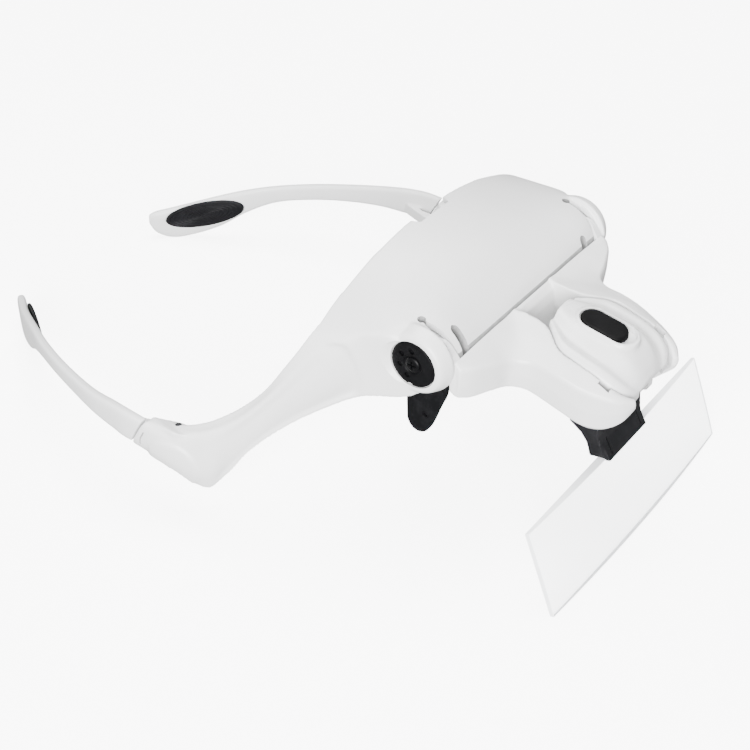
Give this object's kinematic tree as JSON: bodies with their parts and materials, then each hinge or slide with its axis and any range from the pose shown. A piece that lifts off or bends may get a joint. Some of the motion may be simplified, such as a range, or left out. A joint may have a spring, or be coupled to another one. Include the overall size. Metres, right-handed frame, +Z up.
{
  "type": "head visor magnifier",
  "caption": "Head-worn visor magnifier: white frame with folding temples, tilting brow bracket, slide-switch light module and a clear wide lens in a tilting holder.",
  "frame": {"origin": "point on the table under the middle of the resting visor", "axes": "+X towards the wearer's left, +Y from the lens back to the temple tips, +Z up"},
  "size_m": [0.1484, 0.2182, 0.0766],
  "materials": {
    "white_shell": "satin to gloss injection-moulded ABS, white",
    "white_module": "white ABS of the light module",
    "black_plastic": "black nylon, fine texture",
    "black_switch": "black ABS switch key",
    "dark_grey_plastic": "dark grey polycarbonate clip",
    "black_rubber": "soft black elastomer, ribbed",
    "steel": "zinc-plated steel",
    "brass": "plain brass",
    "board": "green printed circuit board laminate",
    "lens_acrylic": "clear polished acrylic",
    "led_epoxy": "clear epoxy lamp body over a yellow phosphor"
  },
  "bodies": {
    "frame": {"frame_shell": "white_shell", "nose_bridge": "black_plastic", "nose_bridge_screw": "steel", "knob_cap_left": "black_plastic", "knob_cap_right": "black_plastic", "pivot_screw_left": "black_plastic", "pivot_screw_right": "black_plastic", "pivot_nut_left": "brass", "pivot_nut_right": "brass", "nose_pad_left": "black_rubber", "nose_pad_right": "black_rubber", "hinge_pin_left": "steel", "hinge_pin_right": "steel"},
    "temple_left": {"temple_arm_left": "white_shell", "temple_pad_left": "black_rubber"},
    "temple_right": {"temple_arm_right": "white_shell", "temple_pad_right": "black_rubber"},
    "bracket": {"bracket_shell": "white_shell", "lens_holder_pin": "steel", "module_pin_left": "steel", "module_pin_right": "steel"},
    "light_module": {"module_housing": "white_module", "battery_door": "white_module", "battery_door_screw": "steel", "circuit_board": "board", "button_cell_bottom": "steel", "button_cell_middle": "steel", "button_cell_top": "steel", "contact_leaf_positive": "brass", "contact_leaf_negative": "brass", "led_left": "led_epoxy", "led_right": "led_epoxy"},
    "switch": {"switch_slider": "black_switch"},
    "lens_holder": {"lens_holder": "dark_grey_plastic"},
    "lens": {"lens": "lens_acrylic"}
  },
  "joints": [
    {"name": "left_temple_fold", "type": "hinge", "parent": "frame", "child": "temple_left", "pos_m": [0.0676, 0.00198, 0.02166], "axis": [0, -0.0183, 0.9998], "range_deg": [0, 85]},
    {"name": "right_temple_fold", "type": "hinge", "parent": "frame", "child": "temple_right", "pos_m": [-0.0676, 0.00198, 0.02166], "axis": [0, 0.0183, -0.9998], "range_deg": [0, 65]},
    {"name": "bracket_tilt", "type": "hinge", "parent": "frame", "child": "bracket", "pos_m": [0, -0.05943, 0.05985], "axis": [-1, 0, 0], "range_deg": [-12, 40]},
    {"name": "light_tilt", "type": "hinge", "parent": "bracket", "child": "light_module", "pos_m": [0, -0.10024, 0.04879], "axis": [1, 0, 0], "range_deg": [0, 20]},
    {"name": "switch_slide", "type": "slide", "parent": "light_module", "child": "switch", "axis": [0, -0.9844, -0.1761], "range_m": [0, 0.0022]},
    {"name": "lens_holder_tilt", "type": "hinge", "parent": "bracket", "child": "lens_holder", "pos_m": [0, -0.09425, 0.0388], "axis": [-1, 0, 0], "range_deg": [-20, 60]},
    {"name": "lens_slide", "type": "slide", "parent": "lens_holder", "child": "lens", "axis": [0, -0.3494, -0.937], "range_m": [0, 0.01]}
  ]
}
